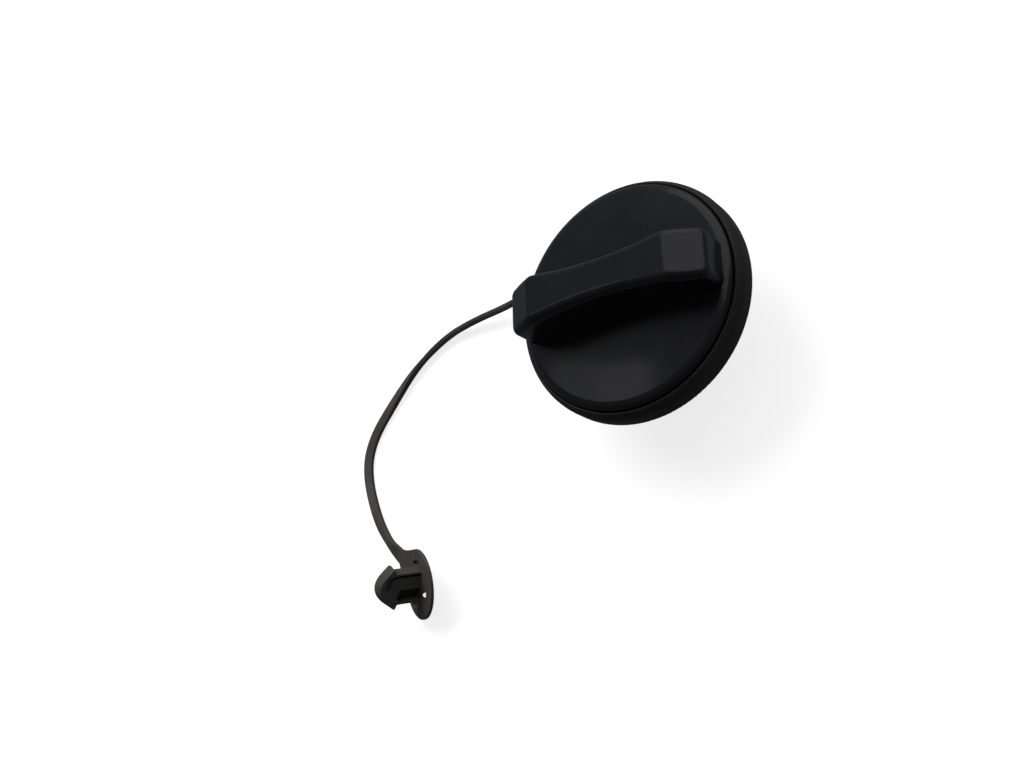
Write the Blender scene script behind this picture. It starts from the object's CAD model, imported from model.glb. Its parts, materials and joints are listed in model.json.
import bpy
import json
import math
from mathutils import Matrix, Vector


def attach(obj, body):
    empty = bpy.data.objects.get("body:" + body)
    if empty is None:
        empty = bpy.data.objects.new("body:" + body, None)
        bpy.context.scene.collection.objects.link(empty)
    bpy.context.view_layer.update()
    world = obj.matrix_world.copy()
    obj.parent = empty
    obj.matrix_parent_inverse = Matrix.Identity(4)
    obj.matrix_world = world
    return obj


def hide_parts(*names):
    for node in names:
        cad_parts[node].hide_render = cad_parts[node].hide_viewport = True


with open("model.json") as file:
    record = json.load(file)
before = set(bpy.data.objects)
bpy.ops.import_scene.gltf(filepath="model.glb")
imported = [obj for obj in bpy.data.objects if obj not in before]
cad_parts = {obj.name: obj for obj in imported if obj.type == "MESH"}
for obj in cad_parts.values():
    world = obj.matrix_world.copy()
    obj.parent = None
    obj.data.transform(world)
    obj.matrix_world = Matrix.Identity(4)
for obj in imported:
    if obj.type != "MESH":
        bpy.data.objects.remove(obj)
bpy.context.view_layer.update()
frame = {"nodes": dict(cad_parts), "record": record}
scene = bpy.context.scene
NODES = frame["nodes"]

# ------------------------------------------------------------------ camera
# about 52 degrees above the face's plane, rolled, with no shift
C = Vector((0.157583, -0.146949, 0.309085))
RIGHT = Vector((0.80624, -0.02953, -0.59085))
DOWN = Vector((-0.23067, -0.93540, -0.26801))
FWD = Vector((-0.54476, 0.35237, -0.76097))
cam_data = bpy.data.cameras.new("camera")
cam_data.sensor_fit = "HORIZONTAL"
cam_data.sensor_width = 36.0
cam_data.lens = 1172.0 / 1024.0 * 36.0
cam_data.clip_start = 0.01
cam_data.clip_end = 30.0
cam = bpy.data.objects.new("camera", cam_data)
pose = Matrix.Identity(4)
for col, axis in enumerate((RIGHT, -DOWN, -FWD)):
    for row in range(3):
        pose[row][col] = axis[row]
pose.translation = C
cam.matrix_world = pose
scene.collection.objects.link(cam)
scene.camera = cam

# ------------------------------------------------------------------ strap route
# the CAD route's points in metres; where the strap lies flat its centre is lower
ROUTE = [
    (-0.02860, 0.01273, 0.01940),
    (-0.03730, 0.01660, 0.01845),
    (-0.04780, 0.02100, 0.01208),
    (-0.06120, 0.02300, 0.00521),
    (-0.07740, 0.02280, 0.00321),
    (-0.09150, 0.02070, 0.00178),
    (-0.10550, 0.01240, 0.00178),
    (-0.11560, 0.00230, 0.00168),
    (-0.12730, -0.01060, 0.00138),
    (-0.13020, -0.02320, 0.00122),
    (-0.12490, -0.04120, 0.00120),
    (-0.11836, -0.05175, 0.00122),
    (-0.11326, -0.05652, 0.00193),
    (-0.11026, -0.05881, 0.00305),
]
CLIP_AT = Vector((-0.10005, -0.06947, 0.00683))
CLIP_N = Vector((-0.5040, -0.1830, 0.8441)).normalized()
TOWARDS = -FWD


def ease(x, a, b):
    t = min(1.0, max(0.0, (x - a) / (b - a)))
    return t * t * (3 - 2 * t)


def nurbs_points(points, resolution=16):
    cu = bpy.data.curves.new("route", "CURVE")
    cu.dimensions = "3D"
    sp = cu.splines.new("NURBS")
    sp.points.add(len(points) - 1)
    for p, co in zip(sp.points, points):
        p.co = (*co, 1.0)
    sp.order_u = 3
    sp.use_endpoint_u = True
    cu.resolution_u = resolution
    ob = bpy.data.objects.new("route", cu)
    scene.collection.objects.link(ob)
    dg = bpy.context.evaluated_depsgraph_get()
    me = bpy.data.meshes.new_from_object(ob.evaluated_get(dg))
    pts = [v.co.copy() for v in me.vertices]
    bpy.data.objects.remove(ob)
    bpy.data.curves.remove(cu)
    bpy.data.meshes.remove(me)
    return pts


def mesh_object(name, verts, faces, smooth=True):
    me = bpy.data.meshes.new(name)
    me.from_pydata([tuple(v) for v in verts], [], faces)
    me.validate()
    me.update()
    if smooth:
        for p in me.polygons:
            p.use_smooth = True
    ob = bpy.data.objects.new(name, me)
    scene.collection.objects.link(ob)
    return ob


def strap_section(width, thick, corner):
    """flat moulded strap: rounded corners and a fine parting ridge on both edges"""
    hw, ht = width / 2, thick / 2
    c = min(corner, ht * 0.9, hw * 0.9)
    ridge = 0.00007
    out = []
    corners = ((hw - c, ht - c, 0), (-hw + c, ht - c, 90), (-hw + c, -ht + c, 180), (hw - c, -ht + c, 270))
    for k, (cx, cy, a0) in enumerate(corners):
        if k == 0:
            out += [(hw, -0.00012), (hw + ridge, -0.00004), (hw + ridge, 0.00004), (hw, 0.00012)]
        if k == 2:
            out += [(-hw, 0.00012), (-hw - ridge, 0.00004), (-hw - ridge, -0.00004), (-hw, -0.00012)]
        for i in range(6):
            a = math.radians(a0 + 18.0 * i)
            out.append((cx + c * math.cos(a), cy + c * math.sin(a)))
    return out


path = nurbs_points(ROUTE)
along = [0.0]
for a, b in zip(path, path[1:]):
    along.append(along[-1] + (b - a).length)
LENGTH = along[-1]


def strap_mesh():
    rolls, frames = [], []
    for i, p in enumerate(path):
        t = (path[min(len(path) - 1, i + 1)] - path[max(0, i - 1)]).normalized()
        side = Vector((0, 0, 1)).cross(t).normalized()
        up = t.cross(side).normalized()
        frames.append((t, side, up))

    def roll_of(w, i):
        t, side, up = frames[i]
        w = w - t * w.dot(t)
        return math.atan2(w.dot(up), w.dot(side))

    verts, faces = [], []
    ridge = Vector((0.22, -0.18, 0.96)).normalized()
    last = None
    for i, p in enumerate(path):
        t, side, up = frames[i]
        u = along[i] / LENGTH
        flat_at_ring = 0.0
        on_edge = roll_of(TOWARDS, i)
        lying = roll_of(ridge.cross(t), i)
        at_clip = roll_of(CLIP_N.cross(t), i)

        def near(a, ref):
            while a - ref > math.pi / 2:
                a -= math.pi
            while a - ref < -math.pi / 2:
                a += math.pi
            return a

        on_edge = near(on_edge, math.radians(80))
        lying = near(lying, math.radians(0))
        at_clip = near(at_clip, lying)
        k0, k1, k2 = ease(u, 0.03, 0.13), ease(u, 0.43, 0.66), ease(u, 0.84, 0.97)
        roll = flat_at_ring * (1 - k0) + on_edge * k0
        roll = roll * (1 - k1) + lying * k1
        roll = roll * (1 - k2) + at_clip * k2
        wdir = side * math.cos(roll) + up * math.sin(roll)
        tdir = t.cross(wdir).normalized()
        root = 1 - ease(u, 0.015, 0.075)
        tip = ease(u, 0.91, 0.980)
        web = ease(u, 0.92, 0.984)
        width = 0.00335 + 0.00010 * ease(u, 0.5, 0.75) + 0.0008 * root + 0.0026 * web
        thick = 0.00225 - 0.00035 * ease(u, 0.42, 0.60) - 0.00072 * tip + 0.0008 * root
        if u > 0.986:
            thick -= 0.0004 * (u - 0.986) / 0.014
            width -= 0.0016 * (u - 0.986) / 0.014
        sec = strap_section(width, thick, 0.0005)
        n_sec = len(sec)
        for x, y in sec:
            verts.append(p + wdir * x + tdir * y)
    for i in range(len(path) - 1):
        for j in range(n_sec):
            a = i * n_sec + j
            b = i * n_sec + (j + 1) % n_sec
            faces.append((a, b, b + n_sec, a + n_sec))
    faces.append(tuple(reversed(range(n_sec))))
    end = (len(path) - 1) * n_sec
    faces.append(tuple(range(end, end + n_sec)))
    return mesh_object("strap", verts, faces)


strap = strap_mesh()
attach(strap, "tether")
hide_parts("tether_strap")


# ------------------------------------------------------------------ materials
class Tree:
    """short names for building a node tree"""

    def __init__(self, name):
        self.mat = bpy.data.materials.new(name)
        self.mat.use_nodes = True
        self.t = self.mat.node_tree
        self.bsdf = self.t.nodes["Principled BSDF"]
        self.coord = self.t.nodes.new("ShaderNodeTexCoord").outputs["Object"]

    def link(self, a, b):
        self.t.links.new(a, b)

    def scaled(self, scale, rotation=(0, 0, 0)):
        m = self.t.nodes.new("ShaderNodeMapping")
        m.inputs["Scale"].default_value = scale
        m.inputs["Rotation"].default_value = rotation
        self.link(self.coord, m.inputs["Vector"])
        return m.outputs["Vector"]

    def noise(self, scale, detail=3.0, rough=0.5, vector=None, distortion=0.0):
        n = self.t.nodes.new("ShaderNodeTexNoise")
        n.inputs["Scale"].default_value = scale
        n.inputs["Detail"].default_value = detail
        n.inputs["Roughness"].default_value = rough
        n.inputs["Distortion"].default_value = distortion
        self.link(vector if vector is not None else self.coord, n.inputs["Vector"])
        return n.outputs["Fac"]

    def cells(self, scale, vector=None):
        n = self.t.nodes.new("ShaderNodeTexVoronoi")
        n.inputs["Scale"].default_value = scale
        self.link(vector if vector is not None else self.coord, n.inputs["Vector"])
        return n.outputs["Distance"]

    def span(self, value, a, b, lo=0.0, hi=1.0):
        m = self.t.nodes.new("ShaderNodeMapRange")
        m.inputs["From Min"].default_value = a
        m.inputs["From Max"].default_value = b
        m.inputs["To Min"].default_value = lo
        m.inputs["To Max"].default_value = hi
        self.link(value, m.inputs["Value"])
        return m.outputs["Result"]

    def math(self, op, a, b=None):
        m = self.t.nodes.new("ShaderNodeMath")
        m.operation = op
        for k, v in enumerate((a, b)):
            if v is None:
                continue
            if isinstance(v, (int, float)):
                m.inputs[k].default_value = v
            else:
                self.link(v, m.inputs[k])
        return m.outputs["Value"]

    def mix(self, fac, a, b):
        m = self.t.nodes.new("ShaderNodeMix")
        m.data_type = "RGBA"
        if isinstance(fac, (int, float)):
            m.inputs["Factor"].default_value = fac
        else:
            self.link(fac, m.inputs["Factor"])
        for key, v in (("A", a), ("B", b)):
            s = [i for i in m.inputs if i.name == key and i.type == "RGBA"][0]
            if isinstance(v, tuple):
                s.default_value = (*v, 1.0)
            else:
                self.link(v, s)
        return [o for o in m.outputs if o.type == "RGBA"][0]

    def edges(self, radius):
        """1 along worn edges, 0 elsewhere"""
        bev = self.t.nodes.new("ShaderNodeBevel")
        bev.samples = 4
        bev.inputs["Radius"].default_value = radius
        geo = self.t.nodes.new("ShaderNodeNewGeometry")
        dot = self.t.nodes.new("ShaderNodeVectorMath")
        dot.operation = "DOT_PRODUCT"
        self.link(bev.outputs["Normal"], dot.inputs[0])
        self.link(geo.outputs["Normal"], dot.inputs[1])
        return self.span(dot.outputs["Value"], 0.965, 0.86)

    def scratches(self, angle, threshold=0.70):
        v = self.scaled((26.0, 2100.0, 900.0), (0, 0, math.radians(angle)))
        thin = self.noise(1.0, 2.0, 0.5, v, 0.0)
        where = self.span(self.noise(55.0, 2.0), 0.50, 0.66)
        return self.math("MULTIPLY", self.span(thin, threshold, threshold + 0.05), where)

    def bump(self, height, strength, distance, before=None):
        n = self.t.nodes.new("ShaderNodeBump")
        n.inputs["Strength"].default_value = strength
        n.inputs["Distance"].default_value = distance
        self.link(height, n.inputs["Height"])
        if before is not None:
            self.link(before, n.inputs["Normal"])
        return n.outputs["Normal"]


def moulded(
    name, base, tint, rough, spec, grain=(2600.0, 0.10), cloud=60.0, wear=None,
    wear_radius=0.0003, scratch=0.0, coat=None, sheen=None, speckle=None,
):
    """moulded plastic: mottled colour, varied roughness, fine grain, rubbed edges, scratches"""
    m = Tree(name)
    broad = m.noise(cloud, 4.0, 0.55)
    fine = m.noise(cloud * 14, 3.0, 0.6)
    mottled = m.mix(m.span(broad, 0.32, 0.70), base, tint)
    colour = m.mix(m.span(fine, 0.40, 0.75, 0.0, 0.35), mottled, tuple(min(1.0, c * 1.7) for c in base))
    r = m.math("ADD", m.span(broad, 0.3, 0.7, rough[0], rough[1]), m.span(fine, 0.3, 0.7, -0.03, 0.03))
    if speckle is not None:
        spots = m.span(m.noise(speckle[0], 1.0, 0.5), 0.66, 0.74, 0.0, speckle[1])
        colour = m.mix(spots, colour, speckle[2])
    if wear is not None:
        rubbed = m.math("MULTIPLY", m.edges(wear_radius), m.span(m.noise(340.0, 3.0, 0.6), 0.36, 0.62))
        colour = m.mix(m.math("MULTIPLY", rubbed, wear[1]), colour, wear[0])
        r = m.math("ADD", r, m.math("MULTIPLY", rubbed, 0.10))
    if scratch:
        marks = m.math("ADD", m.scratches(18.0), m.math("ADD", m.scratches(-52.0, 0.72), m.scratches(83.0, 0.73)))
        marks = m.math("MINIMUM", marks, 1.0)
        colour = m.mix(m.math("MULTIPLY", marks, scratch), colour, tuple(min(1.0, c * 4.0 + 0.02) for c in base))
        r = m.math("ADD", r, m.math("MULTIPLY", marks, 0.12))
    normal = m.bump(m.noise(grain[0], 2.0, 0.6), grain[1], 0.00006)
    normal = m.bump(broad, 0.05, 0.0004, normal)
    m.link(colour, m.bsdf.inputs["Base Color"])
    m.link(r, m.bsdf.inputs["Roughness"])
    m.link(normal, m.bsdf.inputs["Normal"])
    m.bsdf.inputs["Specular IOR Level"].default_value = spec
    if coat is not None:
        m.bsdf.inputs["Coat Weight"].default_value = coat[0]
        m.bsdf.inputs["Coat Roughness"].default_value = coat[1]
    if sheen is not None:
        m.bsdf.inputs["Sheen Weight"].default_value = sheen
        m.bsdf.inputs["Sheen Roughness"].default_value = 0.5
    return m.mat


MATERIALS = {
    "cover_plastic": moulded(
        "cover_plastic", (0.0075, 0.0078, 0.0098), (0.0120, 0.0124, 0.0150), (0.26, 0.40), 0.30,
        grain=(3200.0, 0.10), cloud=48.0, wear=((0.040, 0.040, 0.042), 0.30), wear_radius=0.0005,
        coat=(0.45, 0.10),
    ),
    "shell_plastic": moulded(
        "shell_plastic", (0.0262, 0.0236, 0.0214), (0.0395, 0.0358, 0.0326), (0.46, 0.60), 0.30,
        grain=(1700.0, 0.30), cloud=70.0, wear=((0.050, 0.047, 0.044), 0.35), wear_radius=0.0004, scratch=0.12,
    ),
    "neck_plastic": moulded(
        "neck_plastic", (0.0130, 0.0130, 0.0140), (0.0210, 0.0205, 0.0205), (0.38, 0.52), 0.35,
        grain=(1900.0, 0.22), cloud=90.0, wear=((0.070, 0.068, 0.066), 0.45), scratch=0.15,
        speckle=(2600.0, 0.35, (0.05, 0.05, 0.05)),
    ),
    "valve_plastic": moulded(
        "valve_plastic", (0.034, 0.034, 0.037), (0.048, 0.047, 0.048), (0.40, 0.52), 0.40,
        grain=(2200.0, 0.15), cloud=110.0, wear=((0.12, 0.12, 0.12), 0.35),
    ),
    "acetal_white": moulded(
        "acetal_white", (0.62, 0.60, 0.54), (0.55, 0.52, 0.45), (0.30, 0.42), 0.45,
        grain=(2600.0, 0.08), cloud=80.0, wear=((0.74, 0.72, 0.66), 0.30),
    ),
    "nylon_washer": moulded(
        "nylon_washer", (0.54, 0.52, 0.46), (0.44, 0.41, 0.35), (0.36, 0.50), 0.42,
        grain=(1500.0, 0.18), cloud=70.0,
    ),
    "seal_rubber": moulded(
        "seal_rubber", (0.0105, 0.0105, 0.0105), (0.0190, 0.0185, 0.0175), (0.58, 0.74), 0.28,
        grain=(1300.0, 0.35), cloud=130.0, sheen=0.05, speckle=(1500.0, 0.25, (0.06, 0.058, 0.055)),
    ),
    "tether_plastic": moulded(
        "tether_plastic", (0.0700, 0.0650, 0.0600), (0.1120, 0.1040, 0.0960), (0.44, 0.60), 0.35,
        grain=(1500.0, 0.32), cloud=150.0, wear=((0.210, 0.200, 0.185), 0.50), wear_radius=0.00025,
        scratch=0.10, speckle=(1900.0, 0.30, (0.170, 0.160, 0.150)),
    ),
}


def drawn_steel(name):
    m = Tree(name)
    lines = m.noise(1.0, 2.0, 0.5, m.scaled((180.0, 180.0, 4200.0)))
    broad = m.noise(220.0, 3.0)
    m.link(m.mix(m.span(broad, 0.35, 0.7), (0.52, 0.52, 0.53), (0.40, 0.39, 0.38)), m.bsdf.inputs["Base Color"])
    m.link(m.math("ADD", m.span(broad, 0.3, 0.7, 0.20, 0.32), m.span(lines, 0.3, 0.7, -0.04, 0.06)), m.bsdf.inputs["Roughness"])
    m.link(m.bump(lines, 0.15, 0.00004), m.bsdf.inputs["Normal"])
    m.bsdf.inputs["Metallic"].default_value = 1.0
    return m.mat


MATERIALS["spring_steel"] = drawn_steel("spring_steel")
slot_of = {s["node"]: s["material_slot"] for s in frame["record"]["subparts"]}
for node, ob in NODES.items():
    for s in ob.material_slots:
        s.material = MATERIALS[slot_of[node]]
strap.data.materials.append(MATERIALS["tether_plastic"])

# ------------------------------------------------------------------ floor and light
floor = mesh_object("floor", [(-6, -6, 0), (6, -6, 0), (6, 6, 0), (-6, 6, 0)], [(0, 1, 2, 3)], smooth=False)
floor.visible_glossy = False
floor.visible_diffuse = False
paint = Tree("floor_paint")
shade = paint.mix(paint.span(paint.noise(9.0, 3.0), 0.35, 0.65), (0.60, 0.60, 0.60), (0.58, 0.58, 0.58))
paint.link(shade, paint.bsdf.inputs["Base Color"])
paint.bsdf.inputs["Roughness"].default_value = 0.9
paint.bsdf.inputs["Specular IOR Level"].default_value = 0.0
paint.bsdf.inputs["Emission Color"].default_value = (1.0, 1.0, 1.0, 1.0)
paint.bsdf.inputs["Emission Strength"].default_value = 0.80
floor.data.materials.append(paint.mat)

scene.view_settings.view_transform = "Standard"
world = bpy.data.worlds.new("studio")
scene.world = world
world.use_nodes = True
wt = world.node_tree
back = wt.nodes["Background"]
where = wt.nodes.new("ShaderNodeTexCoord")
facing = wt.nodes.new("ShaderNodeVectorMath")
facing.operation = "DOT_PRODUCT"
facing.inputs[1].default_value = (0.35, 0.80, 0.10)
wt.links.new(where.outputs["Generated"], facing.inputs[0])
sky = wt.nodes.new("ShaderNodeMapRange")
sky.inputs["From Min"].default_value = -0.6
sky.inputs["From Max"].default_value = 0.9
sky.inputs["To Min"].default_value = 0.045
sky.inputs["To Max"].default_value = 0.15
wt.links.new(facing.outputs["Value"], sky.inputs["Value"])
height = wt.nodes.new("ShaderNodeSeparateXYZ")
wt.links.new(where.outputs["Generated"], height.inputs["Vector"])
below = wt.nodes.new("ShaderNodeMapRange")
below.inputs["From Min"].default_value = 0.02
below.inputs["From Max"].default_value = -0.10
below.inputs["To Min"].default_value = 0.0
below.inputs["To Max"].default_value = 0.03
wt.links.new(height.outputs["Z"], below.inputs["Value"])
both = wt.nodes.new("ShaderNodeMath")
both.operation = "ADD"
wt.links.new(sky.outputs["Result"], both.inputs[0])
wt.links.new(below.outputs["Result"], both.inputs[1])
back.inputs["Color"].default_value = (0.95, 0.975, 1.04, 1.0)
wt.links.new(both.outputs["Value"], back.inputs["Strength"])


def area(name, at, aim, size, radiance, size_y=None):
    ld = bpy.data.lights.new(name, "AREA")
    ld.shape = "RECTANGLE"
    ld.size = size
    ld.size_y = size_y or size
    ld.energy = radiance * math.pi * ld.size * ld.size_y
    ob = bpy.data.objects.new(name, ld)
    ob.location = at
    ob.rotation_euler = (Vector(aim) - Vector(at)).to_track_quat("-Z", "Y").to_euler()
    scene.collection.objects.link(ob)
    return ob


MIDDLE = (-0.03, 0.0, 0.02)
area("key", (0.42, 0.80, 0.75), MIDDLE, 1.50, 0.54)
fill = area("fill", (-0.45, 0.75, 0.85), MIDDLE, 0.90, 3.6)
fill.visible_glossy = False


def overhead(name, at, size_x, size_y, turn, radiance, mottle):
    """level softbox overhead, uneven across its width, that shows as a soft patch in the face"""
    ld = bpy.data.lights.new(name, "AREA")
    ld.shape = "RECTANGLE"
    ld.size = size_x
    ld.size_y = size_y
    ld.energy = radiance * math.pi * size_x * size_y
    ld.use_nodes = True
    nt = ld.node_tree
    em = nt.nodes["Emission"]
    geo = nt.nodes.new("ShaderNodeNewGeometry")
    nz = nt.nodes.new("ShaderNodeTexNoise")
    nz.inputs["Scale"].default_value = mottle
    nz.inputs["Detail"].default_value = 4.0
    mr = nt.nodes.new("ShaderNodeMapRange")
    mr.inputs["From Min"].default_value = 0.30
    mr.inputs["From Max"].default_value = 0.70
    mr.inputs["To Min"].default_value = 0.45
    mr.inputs["To Max"].default_value = 1.55
    nt.links.new(geo.outputs["Parametric"], nz.inputs["Vector"])
    nt.links.new(nz.outputs["Fac"], mr.inputs["Value"])
    nt.links.new(mr.outputs["Result"], em.inputs["Strength"])
    ob = bpy.data.objects.new(name, ld)
    ob.location = at
    ob.rotation_euler = (0, 0, math.radians(turn))
    scene.collection.objects.link(ob)


overhead("panel_a", (-0.212, 0.100, 0.40), 0.068, 0.050, -12, 0.80, 5.0)
overhead("panel_b", (-0.272, 0.124, 0.40), 0.054, 0.046, -18, 0.55, 4.0)
